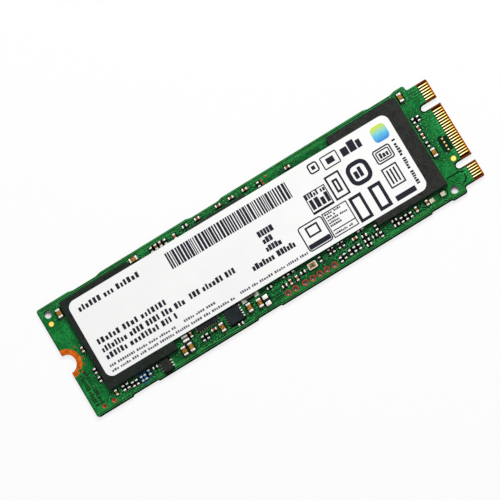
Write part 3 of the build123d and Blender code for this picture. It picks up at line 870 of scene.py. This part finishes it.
# %% Rounded blocks
def soften(node, radius, slot, steps=2):
    """Stands blocks with round upright and upper edges in the place of a node's sharp ones."""
    shapes = Shapes()
    turns = [math.pi / 2 * k / steps for k in range(steps + 1)]
    for low, high in solids(node):
        bend = min(radius, (high[0] - low[0]) / 3, (high[1] - low[1]) / 3, (high[2] - low[2]) / 2)
        insets = [0.0] + [bend * (1 - math.cos(a)) for a in turns]
        levels = [low[2]] + [high[2] - bend * (1 - math.sin(a)) for a in turns]
        shapes.stack([oblong(low[0] + inset, low[1] + inset, high[0] - inset, high[1] - inset,
                             bend - inset * 0.9, steps) for inset in insets], levels)
    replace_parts(shapes.piece("soft_" + node, worn[node], slot, smooth=50), node)


slots = {"large_capacitor": "capacitor_ceramic", "small_capacitor": "capacitor_ceramic",
         "resistor": "resistor_film", "fuse": "resistor_film", "array": "resistor_film",
         "ferrite_bead": "ferrite"}
for family in families:
    large = family == "large_capacitor"
    soften(family + "_ends", 0.09 if large else 0.05, "solder")
    soften(family + "_bodies", 0.05 if large else 0.03, slots[family])

# %% [markdown]
# ## Solder balls and plated holes
#
# The drawing makes the balls under the large chips square, and the linings of the test holes and the
# dots with few facets, because a CAD checker has to live with hundreds of them. From close by that
# shows. They are made again here, round, on the same spots, and stand in for the coarse ones.


# %% Round balls
BALL = ((0.66, 0), (0.84, 0.12), (0.97, 0.32), (1, 0.5), (0.97, 0.68), (0.84, 0.88), (0.66, 1))


def balls(node):
    """Round, slightly flattened balls in the place of a node's coarse ones."""
    shapes = Shapes()
    for low, high in solids(node):
        radius = (high[0] - low[0] + high[1] - low[1]) / 4
        tall = high[2] - low[2]
        shapes.turned(*middle((low, high)), [(radius * wide, low[2] + tall * up) for wide, up in BALL], 14)
    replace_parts(shapes.piece("round_" + node, BALL_TIN, "solder", smooth=60), node)


for node in ("flash_balls_left", "flash_balls_right", "controller_balls", "memory_balls"):
    balls(node)


# %% Round linings and dots
def round_linings(steps=28):
    """The plated test holes: a land on each face and a wall between them."""
    shapes = Shapes()
    for low, high in solids("test_hole_linings"):
        x, y = middle((low, high))
        land = (high[1] - low[1]) / 2
        hole, mouth = (0.375, 0.405) if land > 0.5 else (0.15, 0.21)
        wall, foot, top = hole + 0.04, low[2], high[2]
        profile = [(land, foot), (land, foot + 0.03), (wall, foot + 0.03), (wall, top - 0.03),
                   (land, top - 0.03), (land - 0.01, top + 0.004), (mouth, top + 0.004),
                   (hole, top - 0.03), (hole, foot + 0.02), (hole + 0.03, foot)]
        shapes.wrap([disc(x, y, radius, steps) for radius, _ in profile], [level for _, level in profile])
    made = shapes.piece("round_test_linings", RING_COPPER, "bare_copper", smooth=40)
    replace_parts(made, "test_hole_linings")


def round_dots():
    """The bare copper dots, each a low dome."""
    shapes = Shapes()
    for low, high in solids("copper_dots"):
        radius, top = (high[1] - low[1]) / 2, high[2]
        dome = [(radius, low[2]), (radius, top), (radius * 0.7, top + 0.015), (radius * 0.3, top + 0.02)]
        shapes.turned(*middle((low, high)), dome, 20)
    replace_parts(shapes.piece("round_copper_dots", DOT_COPPER, "bare_copper", smooth=60), "copper_dots")


round_linings()
round_dots()

# %% [markdown]
# ## Copper traces under the mask
#
# The traces are what makes a green board a circuit board. They lie under the lacquer and lift it by a
# hair. A few long ones follow the real card. The many short ones run from the parts' pads to a via, a
# tiny plated hole, and could be drawn by hand for an hour; a small router lays them instead. It tries
# a few ways from each pad, keeps the first that meets no part, hole or edge, and ends it in a via.

# %% What a trace must keep clear of
half_length, half_width = plain_box[1][0] / MM, plain_box[1][1] / MM
END_ROOM, SIDE_ROOM = 0.7, 0.65
TOOLING_HOLES = ((-39.3, 8.5, -37.5, 10.3), (33.3, -10.3, 35.1, -8.5))
other_nodes = ("test_hole_linings", "copper_dots", "fiducial_pads", "square_test_pads", "power_chip_pads",
              "switch_chip_pads", "logic_chip_leads", "inductor_terminals", "edge_contacts_top",
              "mount_notch_lands")
boxes = [box for found in (*chips.values(), *bodies.values(), *ends.values()) for box in found]
boxes += [box for node in other_nodes for box in solids(node)]
taken = [(low[0], low[1], high[0], high[1]) for low, high in boxes] + list(TOOLING_HOLES)
taken += [(x - KEY_REACH, y - KEY_REACH, half_length, y + KEY_REACH) for x, y in KEYS]
print("a trace must miss", len(taken), "boxes")


def free(x, y, room):
    """Whether a spot is on the card and clear of all the parts by some room."""
    if abs(x) > half_length - END_ROOM or abs(y) > half_width - SIDE_ROOM:
        return False
    return all(x < a - room or x > c + room or y < b - room or y > d + room for a, b, c, d in taken)


# %% Strips and vias
traces, gaps_and_shade, vias = Shapes(), Shapes(), []
LIFT = 0.014
RUN_GAP, VIA_GAP, PART_SHADE_RISE, RIM_GAP = 0.005, 0.0055, 0.003, 0.0045  # so no two faces share a plane


def strip(shapes, points, width, rise, face=TOP, side=1):
    """A bent strip that stands up from a face by its rise; side is -1 on the lower face."""
    low, high = sorted((face - side * SINK, face + side * rise))
    shapes.slab(band(points, width), low, high)


def run(points, width, face=TOP, side=1):
    """A trace on a face, with the dark gap that parts it from the copper around."""
    strip(gaps_and_shade, points, width + 0.26, RUN_GAP, face, side)
    strip(traces, points, width, LIFT, face, side)


def via(x, y, face=TOP, side=1, radius=0.2):
    """A low ring with a dimple in it, under the mask, in its dark gap."""
    gaps_and_shade.turned(x, y, [(radius + 0.08, face - side * SINK), (radius + 0.08, face + side * VIA_GAP)], 14)
    profile = ((1, -SINK), (1, 0.008), (0.72, LIFT + 0.006), (0.45, LIFT), (0.3, 0.002))
    traces.turned(x, y, [(radius * wide, face + side * up) for wide, up in profile], 14)


# %% Painted shade round the parts
PART_SHADE_MARGIN = 0.24
# Painted shade: a dark ring round each chip part, standing in for its contact shadow.
for found in (chips["power_chip_body"], chips["switch_chip_body"], chips["logic_chip_body"],
              chips["crystal_base"], chips["inductor_core"], *bodies.values(), *ends.values()):
    for low, high in found:
        ring = oblong(low[0] - PART_SHADE_MARGIN, low[1] - PART_SHADE_MARGIN, high[0] + PART_SHADE_MARGIN, high[1] + PART_SHADE_MARGIN, 0.16)
        gaps_and_shade.slab(ring, TOP - SINK, TOP + PART_SHADE_RISE)

# %% Long traces that the picture shows
laid = [
    ([(9.7, -8.35), (14.0, -8.35)], 0.16), ([(10.4, -9.0), (12.45, -9.0), (12.45, -8.5)], 0.14),
    ([(15.7, -7.8), (15.7, -10.2)], 0.16), ([(14.2, -7.8), (15.0, -8.6), (15.0, -9.9)], 0.13),
    ([(34.9, -8.0), (35.3, -8.7), (35.9, -9.1)], 0.16),
    ([(31.7, -10.0), (32.3, -10.25), (32.9, -10.0)], 0.14),
    ([(-35.4, 10.45), (-22.0, 10.45), (-21.4, 9.9)], 0.14), ([(19.5, 10.4), (33.0, 10.4)], 0.14),
    ([(-3.1, -9.22), (-0.75, -9.2)], 0.14), ([(-18.4, -10.2), (-14.2, -10.4), (-7.6, -10.44)], 0.2),
    ([(35.0, 8.4), (36.5, 8.4)], 0.14),
]
for points, width in laid:
    run(points, width)
    vias.append(points[-1])
hook = [(33.9, -7.08), (36.6, -7.15), (37.15, -7.65), (37.05, -8.6), (36.5, -9.15), (35.8, -9.3)]
strip(gaps_and_shade, hook, 0.24, VIA_GAP)
gaps_and_shade.frame(disc(32.18, -8.96, 0.85), disc(32.18, -8.96, 0.65), TOP - SINK, TOP + VIA_GAP)
vias += [(36.85, 9.3), (36.85, 8.75), (36.85, 8.2), (36.2, 9.3), (36.2, 8.75), (-38.6, -2.1),
         (-16.4, -7.85), (18.15, -10.0), (-20.8, -6.75)]
print("long traces:", len(laid))


# %% Where a trace can leave a pad
PAD_REACH = 0.14


def leaving(end, way):
    """The spot just outside an end's pad on one side, and the way on from there."""
    axis = 0 if way.x else 1
    spot = middle(end)
    spot[axis] += math.copysign((end[1][axis] - end[0][axis]) / 2 + PAD_REACH, way[axis])
    return spot, way


starts, sideways = [], []
for family in families:
    for end in ends[family]:
        way = outward(end, bodies[family])
        starts.append(leaving(end, way))
        sideways += [leaving(end, Vector((-way.y, way.x))), leaving(end, Vector((way.y, -way.x)))]
print("ways out:", len(starts), "forward and", len(sideways), "to the side")


# %% The small router
TRIES, TRACE_ROOM, VIA_ROOM, VIA_SPACING = 14, 0.08, 0.26, 0.5


def lay_short_traces(seed):
    """Runs a short bent trace from each pad to a via wherever one fits."""
    dice = random.Random(seed)
    count = 0
    for tip, way in starts + sideways:
        across = Vector((-way.y, way.x))
        for _ in range(TRIES):
            straight, slant = dice.uniform(0.15, 0.9), dice.uniform(0.0, 0.9) * dice.choice((-1, 1))
            knee = tip + way * straight
            end = knee + way * abs(slant) + across * slant
            probes = [tip + way * straight * k / 3 for k in (1, 2, 3)]
            probes += [knee + (end - knee) * k / 4 for k in (1, 2, 3)]
            clear = all(free(p.x, p.y, TRACE_ROOM) for p in probes) and free(end.x, end.y, VIA_ROOM)
            if clear and all((Vector(v) - end).length > VIA_SPACING for v in vias):
                points = [tip, knee, end] if abs(slant) > 0.05 else [tip, knee]
                run([tuple(p) for p in points], 0.13)
                vias.append(tuple(points[-1]))
                count += 1
                break
    return count


print("short traces laid:", lay_short_traces(seed=11))


# %% Traces from the contacts
def contact_stubs(node, face, side):
    """A short trace from the root of each contact inward, every third one ending in a via."""
    count = 0
    for k, box in enumerate(sorted(solids(node), key=lambda b: b[0][1])):
        y = (box[0][1] + box[1][1]) / 2
        edge = box[0][0]
        inner = edge - (1.2, 0.7, 0.95)[k % 3]
        if side < 0 or free(inner, y, 0.2):
            strip(traces, [(edge + 0.02, y), (inner, y)], 0.2, LIFT, face, side)
            count += 1
            if k % 3 == 1:
                via(inner, y, face, side, 0.19)
    return count


print("stubs:", contact_stubs("edge_contacts_top", TOP, 1), contact_stubs("edge_contacts_bottom", 0.0, -1))
for spot in vias:
    via(*spot)
print("vias:", len(vias))


# %% The rim of the copper, and painted shade along the lower edge
RIM_START, RIM_STOP, RIM_STEP = 0.42 - half_length, half_length - 4.42, 0.25


def rim_gap(bites, edge, ramp, inset, width=0.1):
    """A thin dark line inside a long edge, with a step inward at each of the edge's recesses."""
    y = edge * (half_width - inset)
    inner = y - edge * RIM_STEP
    line = [(RIM_START, y)]
    for start, end in bites:
        line += [(start, y), (start + ramp, inner), (end - ramp, inner), (end, y)]
    line.append((RIM_STOP, y))
    strip(gaps_and_shade, line, width, RIM_GAP)


upper_bites = ((-33.4, -26.64), (-8.8, -1.4), (27.6, 34.08))
lower_bites = ((-32.8, -27.28), (-7.0, -1.92), (28.6, 33.12))
rim_gap(upper_bites, 1, 1.0, 0.42)
rim_gap(lower_bites, -1, 0.3, 0.42)
# Painted shade: a wider dark line just inside the lower edge.
rim_gap(lower_bites, -1, 0.3, 0.1, 0.2)


# %% The rim round the keys and the tab's corner
def arc(x, y, radius, start, end, steps=8):
    """Points along a part of a circle, between two angles in degrees."""
    turns = [math.radians(start + (end - start) * k / steps) for k in range(steps + 1)]
    return [(x + radius * math.cos(a), y + radius * math.sin(a)) for a in turns]


rim_end = TAB_START - 0.05
rim_reach = KEY_REACH + 0.12
for key_x, key_y in KEYS:
    rim = [(rim_end, key_y + rim_reach), *arc(key_x, key_y, rim_reach, 90, 270),
           (rim_end, key_y - rim_reach)]
    strip(gaps_and_shade, rim, 0.22, RUN_GAP)
rim = [*arc(35.5, -10.5, 0.4, -90, 0, 4), *arc(36.4, -10.325, 0.5, 180, 90, 4), (rim_end, -9.825)]
strip(gaps_and_shade, rim, 0.18, RUN_GAP)

# %% [markdown]
# ## The underside
#
# Nothing is soldered to the lower face, and the picture doesn't show it, so it gets what such a card
# has there: the second row of contacts, lines that run between the chips above, and rows of vias under
# them. The same strips and rings make it, laid on the face below.


# %% Underside traces
def underside():
    """Bundles of parallel lines between the chips, grids of vias below them, and rows along the edges."""
    pitch, bend = 0.42, 2.0
    slip = pitch * math.tan(math.radians(22.5))
    for start, stop, y, count in ((-34.0, -10.0, 5.2, 6), (-20.0, 14.0, -3.6, 7), (3.0, 30.0, 6.4, 6)):
        for k in range(count):
            base, knee = y - pitch * k, start + 6 - slip * k
            line = [(start + 0.5 * k, base), (knee, base), (knee + bend, base - bend),
                    (stop - 0.6 * k, base - bend)]
            run(line, 0.14, 0.0, -1)
            via(*line[0], 0.0, -1)
            via(*line[-1], 0.0, -1)
    for cx, cy, nx, ny in ((-28.6, -6.6, 9, 3), (-3.5, 7.6, 8, 3), (26.6, -5.8, 8, 4), (18.5, -7.4, 6, 2)):
        for i in range(nx):
            for j in range(ny):
                via(cx + 1.0 * (i - (nx - 1) / 2), cy + 0.8 * (j - (ny - 1) / 2), 0.0, -1, 0.18)
    for k in range(34):
        for edge in (-1, 1):
            x, y = -35.6 + 2.1 * k + 0.5 * edge, edge * (half_width - 0.85)
            if free(x, y, 0.2):
                via(x, y, 0.0, -1, 0.18)


underside()
traces.piece("masked_traces", TRACE, "board_laminate")
gaps_and_shade.piece("mask_gaps_and_painted_shade", GAP_AND_SHADE_MASK, "board_laminate")

# %% [markdown]
# ## Marks in the mask
#
# Near the front there is a dark oblong around the four programming dots, where the copper below was
# cleared away. Beside the mounting notch stand two columns of small dark blocks, etched into the
# mask. Each is a slab a few thousandths of a millimetre high, of uneven length, drawn by seeded dice.


# %% Cleared patch and etched blocks
COLUMNS, COLUMN_FOOT, COLUMN_HEAD = (-39.35, -38.35), -9.2, -3.1


def mask_marks(seed):
    """The dark patch and two columns of etched blocks."""
    cleared = Shapes()
    cleared.slab(oblong(36.06, -3.41, 37.87, -0.02, 0.5), TOP - SINK, TOP + 0.006)
    cleared.piece("cleared_patch", DARK_MASK, "board_laminate")
    etched = Shapes()
    dice = random.Random(seed)
    for x in COLUMNS:
        y = COLUMN_FOOT
        while y < COLUMN_HEAD:
            length = dice.uniform(0.26, 0.5)
            start, reach = dice.uniform(0, 0.14), dice.uniform(0.6, 0.9)
            etched.slab(oblong(x + start, y, x + reach, y + length), TOP - SINK, TOP + 0.008)
            y += length + dice.choice((0.09, 0.11, 0.13, 0.15, 0.26))
    etched.piece("mask_marks", ETCHED, "board_laminate")


mask_marks(seed=5)

# %% [markdown]
# ## Print on the label
#
# The print is fields of tone and simple shapes: rows of plain upright blocks, a field of stripes, and
# plain frames and bars. All of it is measured from the label's middle, along and across the label,
# because the label lies about half a degree askew on the card. A turn by that angle, done on every
# outline, is simpler than a turned object, and keeps all the print in one mesh.

# %% The label's own directions
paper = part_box("label")
centre = (paper[0] + paper[1]) / 2 / MM
LABEL_TOP = paper[1].z / MM
INK_RISE, ASKEW = 0.006, math.radians(-0.55)
print("label middle", tuple(round(c, 3) for c in centre), "top at", round(LABEL_TOP, 3))


def on_label(outline):
    """Turns an outline from the label's own directions to the card's."""
    c, s = math.cos(ASKEW), math.sin(ASKEW)
    return [(centre.x + x * c - y * s, centre.y + x * s + y * c) for x, y in outline]


# %% Ink on the label
class Print(Shapes):
    """Slabs of ink on the label."""

    def field(self, outline):
        """A filled field."""
        self.slab(on_label(outline), LABEL_TOP - SINK, LABEL_TOP + INK_RISE)

    def rim(self, outer, inner):
        """A field with an opening in it."""
        self.frame(on_label(outer), on_label(inner), LABEL_TOP - SINK, LABEL_TOP + INK_RISE)

    def blocks(self, x0, x1, y0, y1, seed, width, gap, group=(3, 8), upright=False):
        """A row of plain blocks of uneven height, in groups, along the label or upright."""
        dice = random.Random(seed)
        at, left = x0, dice.randint(*group)
        while at < x1 - width * 0.6:
            wide = min(width * dice.uniform(0.7, 1.15), x1 - at)
            tall = (y1 - y0) * dice.choice((1.0, 1.0, 0.74))
            low, high = (at, y0), (at + wide, y0 + tall)
            self.field(oblong(*low[::-1], *high[::-1]) if upright else oblong(*low, *high))
            left -= 1
            at += wide + gap
            if left <= 0:
                at, left = at + width * 0.9, dice.randint(*group)


# %% Rows of blocks
ink = Print()
rows = [
    (-31.25, -18.85, 5.15, 6.22, 0.52, 0.28), (-31.22, -17.35, -1.58, -0.52, 0.52, 0.3),
    (-31.19, -14.34, -3.2, -2.12, 0.5, 0.24), (-13.15, -3.40, -3.05, -1.98, 0.5, 0.23),
    (-31.16, -16.30, -4.66, -3.6, 0.52, 0.27), (2.6, 6.4, 0.03, 1.16, 0.64, 0.1),
    (2.8, 5.44, -1.38, -0.3, 0.6, 0.09), (2.62, 6.14, -2.86, -1.8, 0.6, 0.1),
    (-1.12, 7.72, -4.54, -3.43, 0.6, 0.12),
]
for k, (x0, x1, y0, y1, width, gap) in enumerate(rows):
    ink.blocks(x0, x1, y0, y1, 40 + k, width, gap)
ink.blocks(-6.14, 3.2, 31.16, 31.8, 61, 0.4, 0.11, upright=True)

# %% Rows of small blocks
small = Print()
small_rows = [(-31.43, -17.96, -6.05, -5.6), (-16.17, -9.52, -5.94, -5.5), (-31.51, -6.42, -6.98, -6.52),
              (-5.13, 8.62, -6.8, -6.34)]
for k, (x0, x1, y0, y1) in enumerate(small_rows):
    small.blocks(x0, x1, y0, y1, 70 + k, 0.34, 0.12)
print("rows of blocks:", len(rows) + 1, "large and", len(small_rows), "small")


# %% Striped field
def stripes(x0, x1, y0, y1, seed):
    """Upright stripes of a few widths."""
    dice = random.Random(seed)
    at = x0
    while at < x1 - 0.1:
        wide = dice.choice((0.2, 0.32, 0.32, 0.48))
        ink.field(oblong(at, y0, min(at + wide, x1), y1))
        at += wide + dice.choice((0.14, 0.14, 0.22, 0.22))


stripes(-13.27, 11.35, 3.2, 6.32, seed=3)


# %% Plain frames
def plate(x0, y0, x1, y1, line, radius=0.0):
    """A hollow frame with a line of one width, and round corners if a radius is given."""
    inner = max(radius - line, 0.01) if radius else 0.0
    ink.rim(oblong(x0, y0, x1, y1, radius), oblong(x0 + line, y0 + line, x1 - line, y1 - line, inner))


plates = [
    (8.99, -6.87, 13.9, -1.97, 0.24, 0.6), (10.2, -4.6, 12.7, -2.6, 0.34), (14.0, -6.88, 18.98, -2.02, 0.2),
    (12.91, -1.49, 17.15, 2.44, 0.19), (17.6, -1.4, 20.5, 3.3, 0.34), (18.5, -0.3, 19.6, 2.2, 0.38),
    (21.35, -1.25, 25.65, 3.15, 0.8, 1.6), (27.01, 0.09, 30.52, 2.82, 0.26, 0.5),
    (27.45, 0.53, 30.08, 2.38, 0.23, 0.35), (26.9, -4.6, 29.9, -0.7, 0.27), (19.4, -7.0, 21.9, -2.1, 0.55),
    (23.3, -7.0, 25.8, -2.1, 0.62), (16.0, 4.8, 18.0, 6.8, 0.28, 0.5), (18.6, 4.2, 21.9, 6.7, 0.22, 0.3),
]
for values in plates:
    plate(*values)

# %% Bars and squares
bars = [(9.3, -6.5, 13.6, -5.6, 0.2), (14.4, -5.72, 18.98, -5.52), (12.91, -1.49, 17.15, -1.05),
        (26.68, -7.0, 30.65, -6.0), (16.65, 5.45, 17.35, 6.15), (19.5, 4.9, 21.0, 6.0)]
bars += [(27.57 + 0.66 * k, -4.0, 27.89 + 0.66 * k, -1.3) for k in range(3)]
for values in bars:
    ink.field(oblong(*values))

# %% Blocks inside the frames
fine_rows = ((-2.65, 17.6), (-3.2, 16.2), (-3.75, 18.5), (-4.3, 17.0), (-4.85, 16.6), (-6.4, 18.2))
for k, (y, x1) in enumerate(fine_rows):
    ink.blocks(14.4, x1, y, y + 0.34, 90 + k, 0.32, 0.08)
for values in ((13.3, 16.9, -0.75, 1.15, 97, 0.75, 0.24), (13.1, 17.0, 1.4, 2.25, 98, 0.36, 0.16),
               (22.5, 24.6, 0.05, 1.9, 99, 0.85, 0.2), (27.95, 29.65, 0.95, 1.95, 100, 0.5, 0.14)):
    ink.blocks(*values)
ink.blocks(22.5, 26.6, 4.65, 6.7, 101, 1.2, 0.2, group=(4, 5))
print("frames:", len(plates), "bars and squares:", len(bars))
ink.piece("label_print", INK, "label_paper")
small.piece("label_small_print", GREY_INK, "label_paper")


# %% [markdown]
# ## The colour patch
#
# The one colourful spot on the label is a plain rounded square that runs from lime to blue. It could
# be two slabs, but a soft change needs one slab whose colour follows its place on the label.


# %% Colour patch
def patch_finish(x, y, reach):
    """Lime at the upper edge, through teal, to blue at the lower one."""
    finish = Finish("colour_patch", roughness=0.5)
    where = finish.place()
    px, py, _ = finish.parts(where)
    rise = (py - (y - reach)) / (2 * reach) + (finish.noise(where, 0.7) - 0.5) * 0.25
    low = finish.mix(rise.clear(0.1, 0.55), paint(24, 128, 214), paint(98, 198, 216))
    return finish.set(Base_Color=finish.mix(rise.clear(0.5, 0.85), low, paint(190, 216, 60)))


patch = Print()
patch.field(oblong(28.6, 3.55, 31.56, 6.51, 0.8))
patch.piece("colour_patch", patch_finish(*on_label([(30.08, 5.03)])[0], 1.6), "label_paper")
